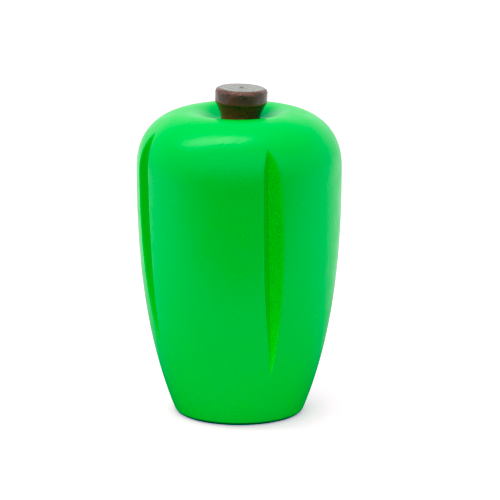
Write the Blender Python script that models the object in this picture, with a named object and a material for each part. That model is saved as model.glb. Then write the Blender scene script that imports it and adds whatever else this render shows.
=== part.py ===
"""Wooden toy bell pepper: a turned, grooved body and a turned stem pegged into its top. Metres, +Z up."""

import math

import bpy
import numpy as np
from mathutils import Matrix, Vector

MM = 0.001

# Body, measured from its base face
WIDEST_RADIUS = 20.0 * MM
WIDEST_HEIGHT = 49.0 * MM
BASE_RADIUS = 12.75 * MM
BASE_ROUNDING = 1.3 * MM
BASE_LEAN = math.radians(22.2)
LOWER_SIDE_HANDLE = 17.7 * MM
UPPER_SIDE_HANDLE = 12.9 * MM
SHOULDER_HANDLE = 9.4 * MM
CROWN_RADIUS = 10.1 * MM
CROWN_HEIGHT = 60.0 * MM
CROWN_HANDLE = 2.0 * MM

# Dish round the stem, and the blind hole in its floor
DISH_INNER_HANDLE = 1.6 * MM
DISH_OUTER_HANDLE = 3.2 * MM
SEAT_RADIUS = 4.3 * MM
SEAT_HEIGHT = 58.0 * MM
HOLE_RADIUS = 3.3 * MM
HOLE_DEPTH = 12.3 * MM

# Straight V grooves cut up the side
GROOVE_HALF_ANGLE = math.radians(40.0)
GROOVE_MID_HEIGHT = 33.0 * MM
GROOVE_CUTTER_LENGTH = 70.0 * MM
GROOVE_CUTTER_REACH = 8.0 * MM

# Each groove's direction (degrees), valley radius at mid height (mm), tilt and lean (degrees)
GROOVES = {
    "front": (-90.0, 16.95, 2.5, 1.9),
    "left": (-176.1, 17.0, 0.5, 2.6),
    "back": (90.0, 16.95, 2.5, 1.9),
    "right": (0.0, 16.95, 2.5, 1.9),
}

# Stem, measured upright before it leans about the middle of its tenon
GAP = 0.3 * MM
STEM_LEAN = math.radians(2.2)
STEM_LEANS_TOWARDS = math.radians(-20.0)
STEM_TOP = 64.5 * MM
HEAD_RADIUS = 5.12 * MM
HEAD_ROUNDING = 0.9 * MM
HEAD_SIDE_FOOT = 62.0 * MM
HEAD_FLARE = 0.3 * MM
NECK_TOP_RADIUS = 4.82 * MM
NECK_TOP_HEIGHT = 61.3 * MM
NECK_TOP_LEAN = math.radians(26.0)
NECK_TOP_HANDLE = 1.4 * MM
NECK_RADIUS = 3.85 * MM
NECK_FOOT_HANDLE = 1.0 * MM
TENON_RADIUS = 2.9 * MM
TENON_LENGTH = 11.7 * MM
TENON_CHAMFER = 0.4 * MM

BODY_STEPS = 80
STEM_STEPS = 64
SHARP_ANGLE = math.radians(35.0)


def clear_scene():
    for obj in list(bpy.data.objects):
        bpy.data.objects.remove(obj)


def curve(start, start_handle, end_handle, end, count):
    """Points of a cubic curve in the (radius, height) plane, without its first point."""
    t = np.linspace(0.0, 1.0, count + 1)[1:, None]
    weights = ((1 - t) ** 3, 3 * (1 - t) ** 2 * t, 3 * (1 - t) * t**2, t**3)
    ends = (start, start_handle, end_handle, end)
    return sum(w * np.array(p) for w, p in zip(weights, ends)).tolist()


def arc(centre, radius, first, last, count):
    """Points of a circular arc in the (radius, height) plane, first point included."""
    angles = np.linspace(first, last, count + 1)
    return [(centre[0] + radius * math.cos(a), centre[1] + radius * math.sin(a)) for a in angles]


def turned(name, profile, steps, material):
    """A closed solid of revolution. The profile runs from the axis at the bottom to the axis at the top."""
    rings = profile[1:-1]
    points = [(0.0, 0.0, profile[0][1])]
    for radius, height in rings:
        for i in range(steps):
            angle = 2 * math.pi * i / steps
            points.append((radius * math.cos(angle), radius * math.sin(angle), height))
    points.append((0.0, 0.0, profile[-1][1]))
    last = len(points) - 1
    faces = []
    for i in range(steps):
        j = (i + 1) % steps
        faces.append((0, 1 + j, 1 + i))
        for ring in range(len(rings) - 1):
            low = 1 + ring * steps
            faces.append((low + i, low + j, low + steps + j, low + steps + i))
        top = 1 + (len(rings) - 1) * steps
        faces.append((top + i, top + j, last))
    mesh = bpy.data.meshes.new(name)
    mesh.from_pydata(points, [], faces)
    mesh.shade_smooth()
    mesh.set_sharp_from_angle(angle=SHARP_ANGLE)
    mesh.materials.append(material)
    obj = bpy.data.objects.new(name, mesh)
    bpy.context.collection.objects.link(obj)
    return obj


def paint(name, colour, roughness):
    material = bpy.data.materials.new(name)
    material.use_nodes = True
    shader = material.node_tree.nodes["Principled BSDF"]
    shader.inputs["Base Color"].default_value = (*colour, 1.0)
    shader.inputs["Roughness"].default_value = roughness
    shader.inputs["Metallic"].default_value = 0.0
    return material


def body_profile():
    rounding_centre = (BASE_RADIUS - BASE_ROUNDING * math.cos(BASE_LEAN), BASE_ROUNDING)
    base = arc(rounding_centre, BASE_ROUNDING, -math.pi / 2, -BASE_LEAN, 6)
    radius, height = base[-1]
    lean = (math.sin(BASE_LEAN), math.cos(BASE_LEAN))
    side = curve(
        (radius, height),
        (radius + LOWER_SIDE_HANDLE * lean[0], height + LOWER_SIDE_HANDLE * lean[1]),
        (WIDEST_RADIUS, WIDEST_HEIGHT - UPPER_SIDE_HANDLE),
        (WIDEST_RADIUS, WIDEST_HEIGHT),
        13,
    )
    shoulder = curve(
        (WIDEST_RADIUS, WIDEST_HEIGHT),
        (WIDEST_RADIUS, WIDEST_HEIGHT + SHOULDER_HANDLE),
        (CROWN_RADIUS + CROWN_HANDLE, CROWN_HEIGHT),
        (CROWN_RADIUS, CROWN_HEIGHT),
        14,
    )
    dish = curve(
        (CROWN_RADIUS, CROWN_HEIGHT),
        (CROWN_RADIUS - DISH_OUTER_HANDLE, CROWN_HEIGHT),
        (SEAT_RADIUS + DISH_INNER_HANDLE, SEAT_HEIGHT),
        (SEAT_RADIUS, SEAT_HEIGHT),
        7,
    )
    hole_floor = SEAT_HEIGHT - HOLE_DEPTH
    hole = [(HOLE_RADIUS, SEAT_HEIGHT), (HOLE_RADIUS, hole_floor), (0.0, hole_floor)]
    return [(0.0, 0.0)] + base + side + shoulder + dish + hole


def stem_profile():
    shoulder_height = SEAT_HEIGHT + GAP
    tenon_end = shoulder_height - TENON_LENGTH
    tenon = [
        (0.0, tenon_end),
        (TENON_RADIUS - TENON_CHAMFER, tenon_end),
        (TENON_RADIUS, tenon_end + TENON_CHAMFER),
        (TENON_RADIUS, shoulder_height),
        (NECK_RADIUS, shoulder_height),
    ]
    neck_top = (NECK_TOP_RADIUS, NECK_TOP_HEIGHT)
    neck = curve(
        (NECK_RADIUS, shoulder_height),
        (NECK_RADIUS, shoulder_height + NECK_FOOT_HANDLE),
        (
            neck_top[0] - NECK_TOP_HANDLE * math.sin(NECK_TOP_LEAN),
            neck_top[1] - NECK_TOP_HANDLE * math.cos(NECK_TOP_LEAN),
        ),
        neck_top,
        8,
    )
    flare = curve(
        neck_top,
        (
            neck_top[0] + HEAD_FLARE * math.sin(NECK_TOP_LEAN),
            neck_top[1] + HEAD_FLARE * math.cos(NECK_TOP_LEAN),
        ),
        (HEAD_RADIUS, HEAD_SIDE_FOOT - HEAD_FLARE),
        (HEAD_RADIUS, HEAD_SIDE_FOOT),
        4,
    )
    head = arc(
        (HEAD_RADIUS - HEAD_ROUNDING, STEM_TOP - HEAD_ROUNDING),
        HEAD_ROUNDING,
        0.0,
        math.pi / 2,
        6,
    )
    return tenon + neck + flare + head + [(0.0, STEM_TOP)]


def lean_stem(stem):
    """Tips the stem about the middle of its tenon, as the peg was glued in."""
    pivot = Vector((0.0, 0.0, SEAT_HEIGHT + GAP - TENON_LENGTH / 2))
    axis = Vector((-math.sin(STEM_LEANS_TOWARDS), math.cos(STEM_LEANS_TOWARDS), 0.0))
    tip = Matrix.Rotation(STEM_LEAN, 4, axis)
    stem.data.transform(Matrix.Translation(pivot) @ tip @ Matrix.Translation(-pivot))


def groove_cutter(name, direction, valley_radius, tilt, lean):
    """A long V prism: its sharp edge is the groove's valley, and it opens away from the body."""
    half = GROOVE_CUTTER_LENGTH / 2
    spread = GROOVE_CUTTER_REACH * math.tan(GROOVE_HALF_ANGLE)
    section = [(0.0, 0.0), (GROOVE_CUTTER_REACH, -spread), (GROOVE_CUTTER_REACH, spread)]
    points = [Vector((x, y, z)) for z in (-half, half) for x, y in section]
    faces = [(0, 2, 1), (3, 4, 5), (0, 1, 4, 3), (1, 2, 5, 4), (2, 0, 3, 5)]
    place = (
        Matrix.Rotation(math.radians(direction), 4, "Z")
        @ Matrix.Translation((valley_radius * MM, 0.0, GROOVE_MID_HEIGHT))
        @ Matrix.Rotation(math.radians(lean), 4, "X")
        @ Matrix.Rotation(math.radians(tilt), 4, "Y")
    )
    mesh = bpy.data.meshes.new(f"groove_cutter_{name}")
    mesh.from_pydata([place @ p for p in points], [], faces)
    cutter = bpy.data.objects.new(mesh.name, mesh)
    bpy.context.collection.objects.link(cutter)
    cutter.hide_render = True
    cutter.display_type = "WIRE"
    return cutter


def cut_grooves(body):
    for name, placing in GROOVES.items():
        cut = body.modifiers.new(f"groove_{name}", "BOOLEAN")
        cut.operation = "DIFFERENCE"
        cut.object = groove_cutter(name, *placing)


def main():
    clear_scene()
    green = paint("green_paint", (0.005, 0.48, 0.02), 0.4)
    brown = paint("brown_paint", (0.07, 0.03, 0.018), 0.22)
    cut_grooves(turned("body", body_profile(), BODY_STEPS, green))
    lean_stem(turned("stem", stem_profile(), STEM_STEPS, brown))


main()
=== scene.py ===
import math

import bpy
from mathutils import Matrix, Vector


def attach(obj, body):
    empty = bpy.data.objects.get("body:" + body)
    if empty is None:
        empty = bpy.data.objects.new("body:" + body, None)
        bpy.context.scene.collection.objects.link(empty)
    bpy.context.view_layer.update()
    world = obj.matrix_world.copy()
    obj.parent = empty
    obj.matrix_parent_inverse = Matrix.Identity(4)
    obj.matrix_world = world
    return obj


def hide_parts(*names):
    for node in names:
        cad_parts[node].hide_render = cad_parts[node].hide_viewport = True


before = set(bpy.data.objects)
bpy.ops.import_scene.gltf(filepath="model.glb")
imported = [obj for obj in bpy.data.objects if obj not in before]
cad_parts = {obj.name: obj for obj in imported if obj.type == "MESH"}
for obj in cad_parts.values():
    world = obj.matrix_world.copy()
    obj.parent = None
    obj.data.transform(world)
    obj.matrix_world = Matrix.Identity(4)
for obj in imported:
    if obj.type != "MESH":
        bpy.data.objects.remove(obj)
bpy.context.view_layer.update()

# The body.
# One piece of hardwood turned between centres, sanded and sprayed with two coats of green paint.
# Its four V grooves are cut straight with a tilted cutter, so each fades out at both ends by itself.

MM = 0.001
WIDEST_RADIUS = 20.0 * MM
WIDEST_HEIGHT = 49.0 * MM
BASE_RADIUS = 12.75 * MM
BASE_ROUNDING = 1.3 * MM
BASE_LEAN = math.radians(22.2)
LOWER_SIDE_HANDLE = 17.7 * MM
UPPER_SIDE_HANDLE = 12.9 * MM
SHOULDER_HANDLE = 9.4 * MM
CROWN_RADIUS = 10.1 * MM
CROWN_HEIGHT = 60.0 * MM
CROWN_HANDLE = 2.0 * MM
DISH_OUTER_HANDLE = 3.2 * MM
DISH_INNER_HANDLE = 1.6 * MM
SEAT_RADIUS = 4.3 * MM
SEAT_HEIGHT = 58.0 * MM
HOLE_RADIUS = 3.3 * MM
HOLE_DEPTH = 12.3 * MM
HOLE_EDGE = 0.25 * MM

# Rows of faces in each part of the outline, and columns round the axis, closer together at the grooves
FLAT_ROWS = 6
ROUNDING_ROWS = 10
SIDE_ROWS = 84
SHOULDER_ROWS = 56
DISH_ROWS = 22
BODY_COLUMNS = 480
SPACING_AT_GROOVE = 0.45
SAME_POINT = 0.001 * MM
CRISP_ANGLE = 0.6

GROOVE_SETTINGS = {
    "Half Angle": math.radians(40.0),
    "Middle Height": 33.0 * MM,
    "Valley Softness": 0.18 * MM,
    "Valley Reach": 3.0 * MM,
    "Lip Softness": 0.34 * MM,
    "Mark From": 0.02 * MM,
    "Mark Full": 0.14 * MM,
}
# Each groove's direction (degrees), valley radius at mid height (mm), tilt and lean (degrees)
GROOVES = {
    "front": (-90.0, 16.95, 2.5, 1.9),
    "left": (-176.1, 17.0, 0.5, 2.6),
    "back": (90.0, 16.95, 2.5, 1.9),
    "right": (0.0, 16.95, 2.5, 1.9),
}
# Far from a groove its walls would run off to infinity; this keeps the division sound
LEAST_OPENING = 0.05

PAINT_GREEN = (0.0, 0.478, 0.003, 1.0)
PAINT_TINT = (0.9, 1.0, 1.0, 1.0)
PAINT_IOR = 1.5
PAINT_ROUGHNESS = (0.27, 0.37)
MOTTLE = (0.3, 0.7)
GREEN_FILM = {"Peel Scale": 1500.0, "Sanding Scale": 260.0}
GREEN_BUMP = {"Strength": 0.45, "Distance": 0.1 * MM}
PEEL = {"Detail": 3.0, "Roughness": 0.55}
SANDING = {"Detail": 2.0, "Roughness": 0.5}
SANDING_HEIGHT = 0.8

# On the groove walls the paint is thin and dull over rough fibres. It has a lit copy, and a darker copy
# on the far wall that is painted shade; the valley is painted lighter, painted light against the V's shade.
PAINT_CUT_LIT = (0.014, 0.6, 0.001, 1.0)
PAINT_CUT_SPECK = (0.008, 0.5, 0.001, 1.0)
PAINT_CUT_PAINTED_SHADE = (0.006, 0.43, 0.001, 1.0)
VALLEY_PAINTED_LIGHT = 0.28
FIBRE = {"Scale": 3000.0, "Detail": 3.0, "Roughness": 0.7}
FIBRE_HEIGHT = 1.6
FIBRE_SPECK = (0.56, 0.4)
GROOVE_ROUGHER = 0.35
GROOVE_GLOSS = (0.5, 0.04)

# Painted shade, a dark line round the foot: its full and faded heights, and the radii over which it starts
FOOT_PAINTED_SHADE = (0.0, 0.06, 0.003, 1.0)
FOOT_LINE = (0.42 * MM, 0.8 * MM)
FOOT_EDGE = (11.3 * MM, 11.6 * MM)


def cubic(start, start_handle, end_handle, end, count):
    """Points of a cubic curve in the (radius, height) plane, without its first point."""
    points = []
    for step in range(1, count + 1):
        t = step / count
        weights = ((1 - t) ** 3, 3 * (1 - t) ** 2 * t, 3 * (1 - t) * t**2, t**3)
        ends = (start, start_handle, end_handle, end)
        points.append(tuple(sum(w * p[i] for w, p in zip(weights, ends)) for i in (0, 1)))
    return points


def round_edge(centre, radius, first, last, count):
    """Points of an arc in the (radius, height) plane, first point included."""
    angles = (first + (last - first) * step / count for step in range(count + 1))
    return [(centre[0] + radius * math.cos(a), centre[1] + radius * math.sin(a)) for a in angles]


def straight(start, end, count):
    """Evenly spaced points from start to end, without start."""
    return [tuple(a + (b - a) * step / count for a, b in zip(start, end)) for step in range(1, count + 1)]


def body_outline():
    """From the centre of the base, up the side, over the crown, and down the hole to its floor."""
    rounding_centre = (BASE_RADIUS - BASE_ROUNDING * math.cos(BASE_LEAN), BASE_ROUNDING)
    base = round_edge(rounding_centre, BASE_ROUNDING, -math.pi / 2, -BASE_LEAN, ROUNDING_ROWS)
    radius, height = base[-1]
    widest = (WIDEST_RADIUS, WIDEST_HEIGHT)
    crown = (CROWN_RADIUS, CROWN_HEIGHT)
    seat = (SEAT_RADIUS, SEAT_HEIGHT)
    side = cubic(
        (radius, height),
        (radius + LOWER_SIDE_HANDLE * math.sin(BASE_LEAN), height + LOWER_SIDE_HANDLE * math.cos(BASE_LEAN)),
        (WIDEST_RADIUS, WIDEST_HEIGHT - UPPER_SIDE_HANDLE),
        widest,
        SIDE_ROWS,
    )
    shoulder = cubic(
        widest,
        (WIDEST_RADIUS, WIDEST_HEIGHT + SHOULDER_HANDLE),
        (CROWN_RADIUS + CROWN_HANDLE, CROWN_HEIGHT),
        crown,
        SHOULDER_ROWS,
    )
    dish = cubic(
        crown,
        (CROWN_RADIUS - DISH_OUTER_HANDLE, CROWN_HEIGHT),
        (SEAT_RADIUS + DISH_INNER_HANDLE, SEAT_HEIGHT),
        seat,
        DISH_ROWS,
    )
    hole_floor = SEAT_HEIGHT - HOLE_DEPTH
    hole = [
        (HOLE_RADIUS + HOLE_EDGE, SEAT_HEIGHT),
        (HOLE_RADIUS, SEAT_HEIGHT - HOLE_EDGE),
        (HOLE_RADIUS, hole_floor),
        (0.0, hole_floor),
    ]
    flat = straight((0.0, 0.0), (base[0][0], 0.0), FLAT_ROWS)[:-1]
    return [(0.0, 0.0)] + flat + base + side + shoulder + dish + hole


class Nodes:
    """Places nodes in a tree, and wires or sets what each one is given."""

    def __init__(self, tree):
        self.tree = tree

    def add(self, kind, values=None, **settings):
        node = self.tree.nodes.new(kind)
        for key, value in settings.items():
            setattr(node, key, value)
        for key, value in (values or {}).items():
            self.feed(node.inputs[key], value)
        return node

    def feed(self, socket, value):
        if isinstance(value, bpy.types.NodeSocket):
            self.tree.links.new(value, socket)
        else:
            socket.default_value = value

    def math(self, operation, *values, clamp=False):
        node = self.add("ShaderNodeMath", operation=operation, use_clamp=clamp)
        for socket, value in zip(node.inputs, values):
            self.feed(socket, value)
        return node.outputs[0]

    def between(self, value, start, end, low=0.0, high=1.0, **settings):
        """How far a value is on its way from start to end, as a number from low to high."""
        spans = {"Value": value, "From Min": start, "From Max": end, "To Min": low, "To Max": high}
        return self.add("ShaderNodeMapRange", spans, **settings).outputs[0]

    def mix(self, share, first, second):
        colours = {"Factor": share, "A": first, "B": second}
        return self.add("ShaderNodeMix", colours, data_type="RGBA").outputs["Result"]

    def noise(self, where, settings):
        return self.add("ShaderNodeTexNoise", {"Vector": where, **settings}).outputs[0]

    def parts(self, vector):
        return self.add("ShaderNodeSeparateXYZ", {0: vector}).outputs

    def length(self, vector):
        return self.add("ShaderNodeVectorMath", {0: vector}, operation="LENGTH").outputs["Value"]

    def attribute(self, name, output="Fac"):
        return self.add("ShaderNodeAttribute", attribute_name=name).outputs[output]


class Group(Nodes):
    """A new node group, with its inputs in given and its outputs in result."""

    def __init__(self, name, kind, inputs, outputs):
        super().__init__(bpy.data.node_groups.new(name, kind))
        for title, socket, value in inputs:
            made = self.tree.interface.new_socket(title, in_out="INPUT", socket_type=socket)
            if value is not None:
                made.default_value = value
        for title, socket in outputs:
            self.tree.interface.new_socket(title, in_out="OUTPUT", socket_type=socket)
        self.given = self.tree.nodes.new("NodeGroupInput").outputs
        self.result = self.tree.nodes.new("NodeGroupOutput").inputs

    def position(self):
        return self.add("GeometryNodeInputPosition").outputs[0]


def numbers(titles):
    """Group inputs that are plain numbers."""
    return [(title, "NodeSocketFloat", 0.0) for title in titles]


def turning_group():
    """Geometry nodes: turns a row of profile points round +Z, as the lathe does, and closes the ends."""
    t = Group(
        "Turned on a lathe",
        "GeometryNodeTree",
        [
            ("Profile", "NodeSocketGeometry", None),
            ("Columns", "NodeSocketInt", BODY_COLUMNS),
            ("Angle", "NodeSocketFloat", 0.0),
        ],
        [("Surface", "NodeSocketGeometry")],
    )
    profile, columns, angle = (t.given[title] for title in ("Profile", "Columns", "Angle"))
    rows = t.add("GeometryNodeAttributeDomainSize", {"Geometry": profile}).outputs["Point Count"]
    grid = t.add(
        "GeometryNodeMeshGrid",
        {"Size X": 1.0, "Size Y": 1.0, "Vertices X": t.math("ADD", columns, 1), "Vertices Y": rows},
    )
    share = t.math("ADD", t.parts(t.position())["Y"], 0.5)
    row = t.math("ROUND", t.math("MULTIPLY", share, t.math("SUBTRACT", rows, 1)))
    point = t.add(
        "GeometryNodeSampleIndex",
        {"Geometry": profile, "Value": t.position(), "Index": row},
        data_type="FLOAT_VECTOR",
    )
    outline = t.parts(point.outputs[0])
    turned = t.add(
        "ShaderNodeCombineXYZ",
        {
            "X": t.math("MULTIPLY", outline["X"], t.math("COSINE", angle)),
            "Y": t.math("MULTIPLY", outline["X"], t.math("SINE", angle)),
            "Z": outline["Z"],
        },
    )
    placed = t.add(
        "GeometryNodeSetPosition", {"Geometry": grid.outputs["Mesh"], "Position": turned.outputs[0]}
    )
    closed = t.add(
        "GeometryNodeMergeByDistance", {"Geometry": placed.outputs[0], "Distance": SAME_POINT}
    )
    t.feed(t.result["Surface"], closed.outputs[0])
    return t.tree


def groove_group():
    """Geometry nodes: sinks one straight V groove. Marks it, its left wall and its valley in attributes."""
    t = Group(
        "V groove",
        "GeometryNodeTree",
        [("Surface", "NodeSocketGeometry", None)]
        + numbers(("Direction", "Valley Radius", "Tilt", "Lean", *GROOVE_SETTINGS)),
        [("Surface", "NodeSocketGeometry")],
    )
    g = t.given
    x, y, z = t.parts(t.position())
    radius = t.math("SQRT", t.math("ADD", t.math("MULTIPLY", x, x), t.math("MULTIPLY", y, y)))
    off = t.math("SUBTRACT", t.math("ARCTAN2", y, x), g["Direction"])
    rise = t.math("SUBTRACT", z, g["Middle Height"])
    valley = t.math("MULTIPLY_ADD", rise, t.math("TANGENT", g["Tilt"]), g["Valley Radius"])
    drift = t.math("MULTIPLY", rise, t.math("MULTIPLY", t.math("TANGENT", g["Lean"]), -1.0))
    slope = t.math("TANGENT", g["Half Angle"])
    walls = []
    for side in (1.0, -1.0):
        across = t.math("DIVIDE", t.math("MULTIPLY", t.math("SINE", off), side), slope)
        opening = t.math("SUBTRACT", t.math("COSINE", off), across)
        reach = t.math("SUBTRACT", valley, t.math("DIVIDE", t.math("MULTIPLY", drift, side), slope))
        walls.append(t.math("DIVIDE", reach, t.math("MAXIMUM", opening, LEAST_OPENING)))
    wall = t.math("SMOOTH_MAX", walls[0], walls[1], g["Valley Softness"])
    cut = t.math("SMOOTH_MIN", radius, wall, g["Lip Softness"])
    share = t.math("DIVIDE", cut, t.math("MAXIMUM", radius, SAME_POINT))
    sunk = t.add(
        "ShaderNodeCombineXYZ",
        {"X": t.math("MULTIPLY", x, share), "Y": t.math("MULTIPLY", y, share), "Z": z},
    )
    sunk_by = t.math("SUBTRACT", t.math("SUBTRACT", radius, cut), g["Mark From"])
    groove = t.math("DIVIDE", sunk_by, t.math("SUBTRACT", g["Mark Full"], g["Mark From"]), clamp=True)
    apart = t.math("SUBTRACT", walls[1], walls[0])
    on_left = t.math("DIVIDE", apart, g["Valley Softness"], clamp=True)
    from_valley = t.math("DIVIDE", t.math("ABSOLUTE", apart), g["Valley Reach"], clamp=True)
    marks = {
        "groove": groove,
        "left_wall": t.math("MULTIPLY", on_left, groove),
        "valley": t.math("MULTIPLY", t.math("SUBTRACT", 1.0, from_valley), groove),
    }
    surface = g["Surface"]
    for name, value in marks.items():
        so_far = t.add("GeometryNodeInputNamedAttribute", {"Name": name}, data_type="FLOAT")
        both = t.math("MAXIMUM", so_far.outputs["Attribute"], value)
        marked = t.add(
            "GeometryNodeStoreNamedAttribute",
            {"Geometry": surface, "Name": name, "Value": both},
            data_type="FLOAT",
            domain="POINT",
        )
        surface = marked.outputs[0]
    placed = t.add("GeometryNodeSetPosition", {"Geometry": surface, "Position": sunk.outputs[0]})
    t.feed(t.result["Surface"], placed.outputs[0])
    return t.tree


def piece_group(name, settings):
    """The geometry tree of one turned piece, before its own nodes."""
    inputs = [("Profile", "NodeSocketGeometry", None), ("Columns", "NodeSocketInt", BODY_COLUMNS)]
    return Group(name, "GeometryNodeTree", inputs + numbers(settings), [("Piece", "NodeSocketGeometry")])


def turn_profile(t, turning, angle):
    """Turns the tree's own profile, its columns placed by the angle."""
    values = {"Profile": t.given["Profile"], "Columns": t.given["Columns"], "Angle": angle}
    return t.add("GeometryNodeGroup", values, node_tree=turning).outputs[0]


def finish_turning(t, surface, material):
    """Closes a piece's tree: smooth faces with crisp corners, no instances, and its material."""
    bend = t.add("GeometryNodeInputMeshEdgeAngle").outputs["Unsigned Angle"]
    corner = t.math("GREATER_THAN", bend, CRISP_ANGLE)
    smooth = t.add("GeometryNodeSetShadeSmooth", {"Geometry": surface, "Shade Smooth": True}, domain="FACE")
    crisp = t.add(
        "GeometryNodeSetShadeSmooth",
        {"Geometry": smooth.outputs[0], "Selection": corner, "Shade Smooth": False},
        domain="EDGE",
    )
    real = t.add("GeometryNodeRealizeInstances", {"Geometry": crisp.outputs[0]})
    done = t.add("GeometryNodeSetMaterial", {"Geometry": real.outputs[0], "Material": material})
    t.feed(t.result["Piece"], done.outputs[0])
    return t.tree


def run_tree(name, outline, tree, values):
    """Lays the outline's points in a mesh, runs the tree on it, and keeps the result as a plain mesh."""
    start = bpy.data.meshes.new(f"{name} outline")
    start.from_pydata([(radius, 0.0, height) for radius, height in outline], [], [])
    piece = bpy.data.objects.new(name, start)
    bpy.context.collection.objects.link(piece)
    modifier = piece.modifiers.new("Turning", "NODES")
    modifier.node_group = tree
    for item in tree.interface.items_tree:
        if item.in_out == "INPUT" and item.name in values:
            modifier[item.identifier] = values[item.name]
    graph = bpy.context.evaluated_depsgraph_get()
    mesh = bpy.data.meshes.new_from_object(piece.evaluated_get(graph))
    piece.modifiers.remove(modifier)
    piece.data = mesh
    mesh.name = name
    return piece


def body_tree(turning, grooving, material):
    t = piece_group("Grooved body", GROOVE_SETTINGS)
    sectors = t.math("MULTIPLY", t.math("ADD", t.parts(t.position())["X"], 0.5), len(GROOVES))
    nearest = t.math("ROUND", sectors)
    part = t.math("MULTIPLY", t.math("SUBTRACT", sectors, nearest), 2.0)
    to_middle = t.math("POWER", t.math("ABSOLUTE", part), 4.0)
    spacing = t.math("MULTIPLY_ADD", to_middle, 1.0 - SPACING_AT_GROOVE, SPACING_AT_GROOVE)
    warped = t.math("MULTIPLY", t.math("MULTIPLY", part, spacing), 0.5)
    angle = t.math("MULTIPLY", t.math("ADD", nearest, warped), 2 * math.pi / len(GROOVES))
    surface = turn_profile(t, turning, angle)
    for direction, valley_radius, tilt, lean in GROOVES.values():
        placing = {
            "Surface": surface,
            "Direction": math.radians(direction),
            "Valley Radius": valley_radius * MM,
            "Tilt": math.radians(tilt),
            "Lean": math.radians(lean),
            **{title: t.given[title] for title in GROOVE_SETTINGS},
        }
        surface = t.add("GeometryNodeGroup", placing, node_tree=grooving).outputs[0]
    return finish_turning(t, surface, material)


def paint_film_group():
    """Shader nodes: the orange peel of sprayed paint, and the slow unevenness of the sanded wood under it."""
    t = Group(
        "Sprayed paint film",
        "ShaderNodeTree",
        [("Where", "NodeSocketVector", None)] + numbers(GREEN_FILM),
        [("Height", "NodeSocketFloat"), ("Mottle", "NodeSocketFloat")],
    )
    peel = t.noise(t.given["Where"], {"Scale": t.given["Peel Scale"], **PEEL})
    slow = t.noise(t.given["Where"], {"Scale": t.given["Sanding Scale"], **SANDING})
    t.feed(t.result["Height"], t.math("ADD", peel, t.math("MULTIPLY", slow, SANDING_HEIGHT)))
    t.feed(t.result["Mottle"], slow)
    return t.tree


def new_material(name):
    material = bpy.data.materials.new(name)
    material.use_nodes = True
    return material, Nodes(material.node_tree), material.node_tree.nodes["Principled BSDF"].inputs


def green_paint(film):
    material, t, finish = new_material("green_paint")
    where = t.add("ShaderNodeTexCoord").outputs["Object"]
    coat = t.add("ShaderNodeGroup", {"Where": where, **GREEN_FILM}, node_tree=film).outputs
    groove = t.attribute("groove")
    fibre = t.noise(where, FIBRE)
    height = t.math("MULTIPLY_ADD", t.math("MULTIPLY", fibre, groove), FIBRE_HEIGHT, coat["Height"])
    t.feed(finish["Normal"], t.add("ShaderNodeBump", {"Height": height, **GREEN_BUMP}).outputs[0])

    # The cut walls: a lit copy of the thin paint, and a darker copy on the far wall that is painted shade.
    lit_wall = t.mix(t.between(fibre, *FIBRE_SPECK), PAINT_CUT_LIT, PAINT_CUT_SPECK)
    walls = t.mix(t.attribute("left_wall"), lit_wall, PAINT_CUT_PAINTED_SHADE)
    # The valley is painted lighter: painted light that evens out the shade deep in the V.
    valley_light = t.math("MULTIPLY_ADD", t.attribute("valley"), VALLEY_PAINTED_LIGHT, 1.0)
    cut_paint = t.add("ShaderNodeVectorMath", {0: walls, "Scale": valley_light}, operation="SCALE").outputs[0]
    tone = t.mix(groove, PAINT_GREEN, cut_paint)
    # Painted shade: a dark line round the foot's edge, where the body meets the table.
    at_edge = t.between(t.length(where), *FOOT_EDGE)
    faded, full = reversed(FOOT_LINE)
    foot = t.between(t.parts(where)["Z"], faded, full, high=at_edge, interpolation_type="SMOOTHSTEP")
    t.feed(finish["Base Color"], t.mix(foot, tone, FOOT_PAINTED_SHADE))

    smooth = t.between(coat["Mottle"], *MOTTLE, *PAINT_ROUGHNESS)
    t.feed(finish["Roughness"], t.math("MULTIPLY_ADD", groove, GROOVE_ROUGHER, smooth))
    painted, bare = GROOVE_GLOSS
    t.feed(finish["Specular IOR Level"], t.math("MULTIPLY_ADD", groove, bare - painted, painted))
    t.feed(finish["Specular Tint"], PAINT_TINT)
    t.feed(finish["IOR"], PAINT_IOR)
    return material


turning = turning_group()
film = paint_film_group()
body = run_tree(
    "pepper_body",
    body_outline(),
    body_tree(turning, groove_group(), green_paint(film)),
    {"Columns": BODY_COLUMNS, **GROOVE_SETTINGS},
)
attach(body, "root")
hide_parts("body")

# The stem.
# A short peg turned from the same wood, dipped in glossy dark brown paint.
# It leans as it was glued into the body's hole. Its top shows end grain and the mark of the lathe's centre.

STEM_SETTINGS = {
    "Lean": math.radians(2.2),
    "Leans Towards": math.radians(-20.0),
    "Pivot Height": 52.45 * MM,
}
STEM_TOP = 64.5 * MM
HEAD_RADIUS = 5.12 * MM
HEAD_ROUNDING = 0.9 * MM
HEAD_SIDE_FOOT = 62.0 * MM
HEAD_FLARE = 0.3 * MM
NECK_TOP_RADIUS = 4.82 * MM
NECK_TOP_HEIGHT = 61.3 * MM
NECK_TOP_LEAN = math.radians(26.0)
NECK_TOP_HANDLE = 1.4 * MM
NECK_RADIUS = 3.85 * MM
NECK_FOOT = 58.3 * MM
NECK_FOOT_HANDLE = 1.0 * MM
NECK_FOOT_EDGE = 0.1 * MM
TENON_RADIUS = 2.9 * MM
TENON_END = 46.6 * MM
TENON_CHAMFER = 0.4 * MM
CENTRE_MARK_RADIUS = 0.75 * MM
CENTRE_MARK_DEPTH = 0.12 * MM
NECK_ROWS = 28
HEAD_ROWS = 10
TOP_ROWS = 26
MARK_ROWS = 8
STEM_COLUMNS = 160

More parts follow.
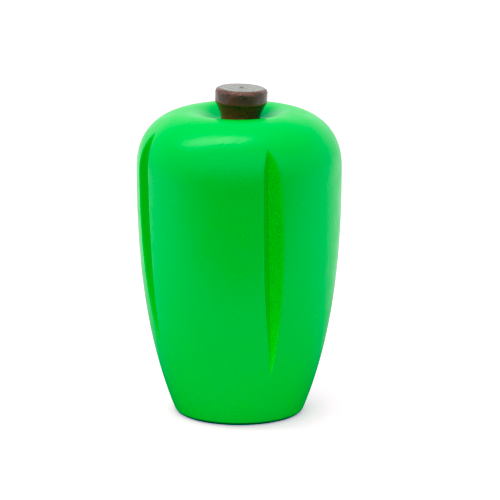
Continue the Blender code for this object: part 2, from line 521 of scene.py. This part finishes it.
PAINT_BROWN = (0.14, 0.008, 0.003, 1.0)
PAINT_BROWN_WORN = (0.19, 0.028, 0.013, 1.0)
PAINT_BROWN_NECK = (0.32, 0.01, 0.005, 1.0)
TOP_PAINTED_REFLECTION = (0.14, 0.075, 0.045, 1.0)
BROWN_TINT = (1.0, 0.93, 0.8, 1.0)
BROWN_ROUGHNESS = 0.14
BROWN_FILM = {"Peel Scale": 1100.0, "Sanding Scale": 350.0}
BROWN_BUMP = {"Strength": 0.6, "Distance": 0.16 * MM}
WORN_PATCHES = (0.4, 0.62)
# Heights at which the neck's paint gives way to the head's, and the side's to the top's painted reflection
NECK_PAINT = (61.7 * MM, 62.1 * MM)
TOP_PAINT = (64.38 * MM, 64.49 * MM)
END_GRAIN = {"Scale": 190.0, "Distortion": 2.5, "Detail": 2.0, "Detail Scale": 1.5}
END_GRAIN_HEIGHT = 0.4
# The paint stands in lumps round the head's rim; heights at which they start, are full, wane and end
LUMPY_RIM = (63.2 * MM, 63.7 * MM, 64.3 * MM, 64.48 * MM)
LUMPS = {"Scale": 1500.0, "Detail": 2.0, "Roughness": 0.6}
LUMP_HEIGHT = 4.0


def stem_outline():
    """From the tenon's end, up the neck, round the head, to the middle of its top."""
    tenon = [
        (0.0, TENON_END),
        (TENON_RADIUS - TENON_CHAMFER, TENON_END),
        (TENON_RADIUS, TENON_END + TENON_CHAMFER),
        (TENON_RADIUS, NECK_FOOT),
        (NECK_RADIUS - NECK_FOOT_EDGE, NECK_FOOT),
        (NECK_RADIUS, NECK_FOOT + NECK_FOOT_EDGE),
    ]
    neck_top = (NECK_TOP_RADIUS, NECK_TOP_HEIGHT)
    neck = cubic(
        tenon[-1],
        (NECK_RADIUS, NECK_FOOT + NECK_FOOT_HANDLE),
        (
            neck_top[0] - NECK_TOP_HANDLE * math.sin(NECK_TOP_LEAN),
            neck_top[1] - NECK_TOP_HANDLE * math.cos(NECK_TOP_LEAN),
        ),
        neck_top,
        NECK_ROWS,
    )
    side_foot = (HEAD_RADIUS, HEAD_SIDE_FOOT)
    flare = cubic(
        neck_top,
        (
            neck_top[0] + HEAD_FLARE * math.sin(NECK_TOP_LEAN),
            neck_top[1] + HEAD_FLARE * math.cos(NECK_TOP_LEAN),
        ),
        (HEAD_RADIUS, HEAD_SIDE_FOOT - HEAD_FLARE),
        side_foot,
        HEAD_ROWS,
    )
    rounding_centre = (HEAD_RADIUS - HEAD_ROUNDING, STEM_TOP - HEAD_ROUNDING)
    head = straight(side_foot, (HEAD_RADIUS, rounding_centre[1]), HEAD_ROWS)[:-1]
    rim = round_edge(rounding_centre, HEAD_ROUNDING, 0.0, math.pi / 2, HEAD_ROWS)
    top = straight(rim[-1], (CENTRE_MARK_RADIUS, STEM_TOP), TOP_ROWS)
    mark = cubic(
        top[-1],
        (CENTRE_MARK_RADIUS / 2, STEM_TOP),
        (CENTRE_MARK_RADIUS / 2, STEM_TOP - CENTRE_MARK_DEPTH),
        (0.0, STEM_TOP - CENTRE_MARK_DEPTH),
        MARK_ROWS,
    )
    return tenon + neck + flare + head + rim + top + mark


def stem_tree(turning, material):
    t = piece_group("Turned stem", STEM_SETTINGS)
    g = t.given
    position = t.position()
    angle = t.math("MULTIPLY", t.math("ADD", t.parts(position)["X"], 0.5), 2 * math.pi)
    upright = t.add(
        "GeometryNodeStoreNamedAttribute",
        {"Geometry": turn_profile(t, turning, angle), "Name": "upright_place", "Value": position},
        data_type="FLOAT_VECTOR",
        domain="POINT",
    )
    across = t.math("MULTIPLY", t.math("SINE", g["Leans Towards"]), -1.0)
    axis = t.add("ShaderNodeCombineXYZ", {"X": across, "Y": t.math("COSINE", g["Leans Towards"])})
    pivot = t.add("ShaderNodeCombineXYZ", {"Z": g["Pivot Height"]})
    tipped = t.add(
        "ShaderNodeVectorRotate",
        {"Vector": position, "Center": pivot.outputs[0], "Axis": axis.outputs[0], "Angle": g["Lean"]},
        rotation_type="AXIS_ANGLE",
    )
    leaning = t.add(
        "GeometryNodeSetPosition", {"Geometry": upright.outputs[0], "Position": tipped.outputs[0]}
    )
    return finish_turning(t, leaning.outputs[0], material)


def brown_paint(film):
    """Its patterns lie on the stem's upright place, so they lean with it."""
    material, t, finish = new_material("brown_paint")
    where = t.attribute("upright_place", "Vector")
    coat = t.add("ShaderNodeGroup", {"Where": where, **BROWN_FILM}, node_tree=film).outputs
    rings = t.add(
        "ShaderNodeTexWave", {"Vector": where, **END_GRAIN}, wave_type="RINGS", rings_direction="Z"
    )
    height_up = t.parts(where)["Z"]
    start, full, wane, end = LUMPY_RIM
    lumpy = t.between(height_up, end, wane, high=t.between(height_up, start, full))
    lumps = t.math("MULTIPLY", t.math("SUBTRACT", t.noise(where, LUMPS), 0.5), lumpy)
    ridges = t.math("MULTIPLY_ADD", rings.outputs["Fac"], END_GRAIN_HEIGHT, coat["Height"])
    relief = t.math("MULTIPLY_ADD", lumps, LUMP_HEIGHT, ridges)
    t.feed(finish["Normal"], t.add("ShaderNodeBump", {"Height": relief, **BROWN_BUMP}).outputs[0])

    side = t.mix(t.between(coat["Mottle"], *WORN_PATCHES), PAINT_BROWN, PAINT_BROWN_WORN)
    # The top face is painted lighter and greyer than the side: a painted reflection of the bright tent on its
    # end grain.
    head = t.mix(t.between(height_up, *TOP_PAINT), side, TOP_PAINTED_REFLECTION)
    neck = t.between(height_up, *reversed(NECK_PAINT))
    t.feed(finish["Base Color"], t.mix(neck, head, PAINT_BROWN_NECK))
    t.feed(finish["Roughness"], BROWN_ROUGHNESS)
    t.feed(finish["Specular Tint"], BROWN_TINT)
    return material


stem = run_tree(
    "pepper_stem",
    stem_outline(),
    stem_tree(turning, brown_paint(film)),
    {"Columns": STEM_COLUMNS, **STEM_SETTINGS},
)
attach(stem, "root")
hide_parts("stem")

# The studio: a white table in a white tent, open and dark in front, under a soft lamp.
# The table ends a little way in front of the object, outside the picture. The gloss shows the dark
# beyond it, and the table itself darker near the object than it looks from the camera, a painted shade.
# The table also glows faintly: painted light that lifts its shadows.

VIEW_AZIMUTH = math.radians(-20.0)
VIEW_HEIGHT = math.radians(13.39)
VIEW_DISTANCE = 0.7
VIEW_TARGET = Vector((0.0, 0.0, 0.03217))
towards_camera = Vector((math.sin(VIEW_AZIMUTH), -math.cos(VIEW_AZIMUTH), 0.0))
to_the_right = Vector((math.cos(VIEW_AZIMUTH), math.sin(VIEW_AZIMUTH), 0.0))
upwards = Vector((0.0, 0.0, 1.0))

TABLE_FRONT = 0.08
TABLE_REACH = 3.0
TABLE_WHITE = (0.95, 0.76, 0.86, 1.0)
TABLE_ROUGHNESS = 0.8
TABLE_GLOW = (1.0, 0.86, 1.0, 1.0)
TABLE_GLOW_MIRRORED = (0.03, 0.03, 0.03, 1.0)
TABLE_GLOW_STRENGTH = 0.2
# Distance from the object's middle (m), and how light the gloss shows the table there,
# darker near the object as painted shade
TABLE_MIRRORED_SHADE = ((0.014, 0.0), (0.026, 0.12), (0.05, 0.36), (0.11, 0.76), (0.25, 0.95))
TABLE_SHADE_END = 0.25
LAMP_PLACE = VIEW_TARGET + 0.03 * towards_camera - 0.17 * to_the_right + 0.5 * upwards
LAMP_SIZE = (0.56, 0.15)
LAMP_POWER = 1.25
TENT_PEAK = 3.0
TENT_TINT = (0.93, 0.98, 1.0)
# Height of the direction looked in (-0.2 to 1), and the tent's brightness there
TENT_LOWEST = -0.2
TENT_FRONT = ((-0.2, 0.12), (0.0, 0.38), (0.17, 0.98), (0.44, 1.75), (0.68, 1.7), (0.89, 1.5), (1.0, 1.5))
TENT_BACK = ((-0.2, 0.95), (0.0, 1.0), (0.3, 1.35), (0.42, 1.15), (0.58, 0.95), (0.84, 1.2), (1.0, 1.5))
# How squarely a direction faces the camera where the tent's back ends, and where its front begins
TENT_TURN = (0.15, 0.85)


def shades(t, share, stops):
    """A colour ramp along the share, through (place, colour) stops."""
    ramp = t.add("ShaderNodeValToRGB", {"Fac": share})
    elements = ramp.color_ramp.elements
    while len(elements) < len(stops):
        elements.new(0.5)
    for element, (place, colour) in zip(elements, stops):
        element.position = place
        element.color = (*colour, 1.0)
    return ramp.outputs["Color"]


def white_table():
    reaches = (
        (TABLE_FRONT, -TABLE_REACH),
        (TABLE_FRONT, TABLE_REACH),
        (-TABLE_REACH, TABLE_REACH),
        (-TABLE_REACH, -TABLE_REACH),
    )
    corners = [towards_camera * forward + to_the_right * across for forward, across in reaches]
    mesh = bpy.data.meshes.new("table_top")
    mesh.from_pydata(corners, [], [(0, 1, 2, 3)])
    table = bpy.data.objects.new("table_top", mesh)
    bpy.context.collection.objects.link(table)
    material, t, finish = new_material("white_table")
    away = t.length(t.add("ShaderNodeTexCoord").outputs["Object"])
    # Seen in the gloss, the table is darker near the object: painted shade.
    mirrored_shade = shades(
        t,
        t.math("DIVIDE", away, TABLE_SHADE_END),
        [(distance / TABLE_SHADE_END, (light, light, light)) for distance, light in TABLE_MIRRORED_SHADE],
    )
    mirrored = t.add("ShaderNodeLightPath").outputs["Is Glossy Ray"]
    t.feed(finish["Base Color"], t.mix(mirrored, TABLE_WHITE, mirrored_shade))
    t.feed(finish["Roughness"], TABLE_ROUGHNESS)
    # The table glows: painted light that lifts its shadows and lights the body from below; the gloss sees
    # little of it.
    t.feed(finish["Emission Color"], t.mix(mirrored, TABLE_GLOW, TABLE_GLOW_MIRRORED))
    t.feed(finish["Emission Strength"], TABLE_GLOW_STRENGTH)
    mesh.materials.append(material)
    return table


def softbox():
    light = bpy.data.lights.new("softbox", "AREA")
    light.shape = "RECTANGLE"
    light.size, light.size_y = LAMP_SIZE
    light.energy = LAMP_POWER
    lamp = bpy.data.objects.new("softbox", light)
    facing = (LAMP_PLACE - VIEW_TARGET).normalized()
    across = (to_the_right - to_the_right.dot(facing) * facing).normalized()
    turned = Matrix((across, facing.cross(across), facing)).transposed()
    lamp.matrix_world = Matrix.LocRotScale(LAMP_PLACE, turned, None)
    bpy.context.collection.objects.link(lamp)


def white_tent():
    world = bpy.data.worlds.new("white_tent")
    world.use_nodes = True
    t = Nodes(world.node_tree)
    looked_in = t.add("ShaderNodeTexCoord").outputs["Generated"]
    level = t.between(t.parts(looked_in)["Z"], TENT_LOWEST, 1.0)
    strips = []
    for heights in (TENT_FRONT, TENT_BACK):
        stops = []
        for height, bright in heights:
            place = (height - TENT_LOWEST) / (1.0 - TENT_LOWEST)
            stops.append((place, [tint * bright / TENT_PEAK for tint in TENT_TINT]))
        strips.append(shades(t, level, stops))
    front, back = strips
    ahead = t.add("ShaderNodeVectorMath", {0: looked_in, 1: tuple(towards_camera)}, operation="DOT_PRODUCT")
    facing = t.between(ahead.outputs["Value"], *TENT_TURN, interpolation_type="SMOOTHSTEP")
    seen = t.add("ShaderNodeLightPath").outputs["Is Camera Ray"]
    white = (*[1.0 / TENT_PEAK] * 3, 1.0)
    background = world.node_tree.nodes["Background"].inputs
    t.feed(background["Color"], t.mix(seen, t.mix(facing, back, front), white))
    t.feed(background["Strength"], TENT_PEAK)
    bpy.context.scene.world = world


white_table()
softbox()
white_tent()

# The camera stands where the photo was taken from.
# Its shift puts the object as far left of the picture's middle as the photo does.

SENSOR_WIDTH = 36.0
VIEW_LENS = 257.7
VIEW_SHIFT = 0.0216
NEAREST_SEEN = 0.01

camera_data = bpy.data.cameras.new("photo_camera")
camera_data.sensor_width = SENSOR_WIDTH
camera_data.lens = VIEW_LENS
camera_data.shift_x = VIEW_SHIFT
camera_data.clip_start = NEAREST_SEEN
camera = bpy.data.objects.new("photo_camera", camera_data)
back = towards_camera * math.cos(VIEW_HEIGHT) + upwards * math.sin(VIEW_HEIGHT)
camera.location = VIEW_TARGET + VIEW_DISTANCE * back
camera.rotation_euler = (-back).to_track_quat("-Z", "Y").to_euler()
bpy.context.collection.objects.link(camera)
bpy.context.scene.camera = camera

# The photo's colours cut off faint red, which keeps the green vivid.
# The red curve's black level does the same.

PHOTO_RED_CUT = 0.1
rendition = bpy.context.scene.view_settings
rendition.view_transform = "Standard"
rendition.use_curve_mapping = True
rendition.curve_mapping.black_level = (PHOTO_RED_CUT, 0.0, 0.0)
rendition.curve_mapping.update()
